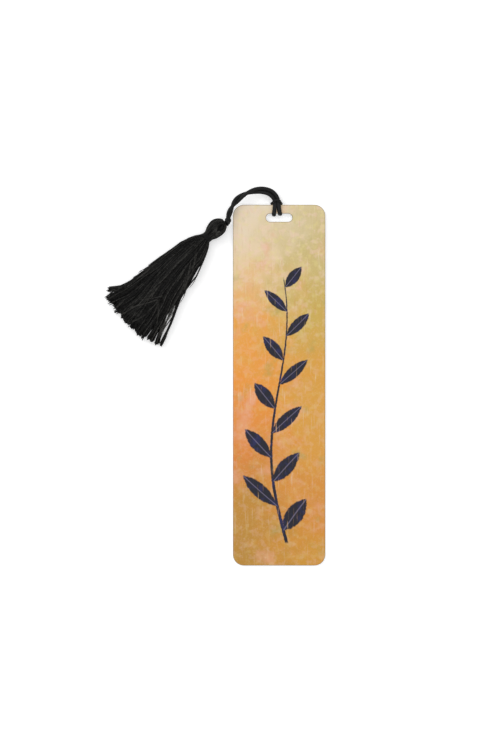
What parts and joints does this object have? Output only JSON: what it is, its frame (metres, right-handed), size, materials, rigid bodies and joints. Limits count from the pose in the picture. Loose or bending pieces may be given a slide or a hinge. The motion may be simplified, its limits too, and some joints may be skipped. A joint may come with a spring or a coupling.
{
  "type": "bookmark",
  "caption": "Flat rounded bookmark board with a slot near its top edge, a doubled cord hitched through it and a loose-yarn tassel that swings and lifts on the cord.",
  "frame": {"origin": "middle of the board's flat back face", "axes": "+Y along the board towards the slot and the tassel, +Z out of the printed face, +X to the right as the face is seen"},
  "size_m": [0.0911, 0.1559, 0.0072],
  "materials": {
    "board_metal": "satin",
    "print": "glossy printed coat",
    "cord": "smooth braided cord",
    "yarn": "silky yarn",
    "thread": "wound thread"
  },
  "bodies": {
    "board": {"board_core": "board_metal", "front_print_coat": "print"},
    "hitch": {"cord_hitch": "cord"},
    "cord": {"cord_twist": "cord"},
    "knot": {"cord_knot": "cord"},
    "tassel": {"cord_tail": "cord", "tassel_head": "yarn", "neck_binding": "thread", "tassel_skirt": "yarn"}
  },
  "joints": [
    {"name": "hitch_slide", "type": "slide", "parent": "board", "child": "hitch", "axis": [1, 0, 0], "range_m": [-0.0022, 0.0018]},
    {"name": "cord_swing", "type": "hinge", "parent": "hitch", "child": "cord", "pos_m": [-0.0021, 0.07727, 0.0019], "axis": [0, 0, 1], "range_deg": [-100, 0], "deforming": ["cord_twist"]},
    {"name": "knot_swing", "type": "hinge", "parent": "cord", "child": "knot", "pos_m": [-0.02095, 0.06795, 0.003], "axis": [0, 0, 1], "range_deg": [-60, 8]},
    {"name": "tassel_lift", "type": "hinge", "parent": "knot", "child": "tassel", "pos_m": [-0.02095, 0.06795, 0.003], "axis": [-0.7071, 0.7071, 0], "range_deg": [0, 60]}
  ]
}
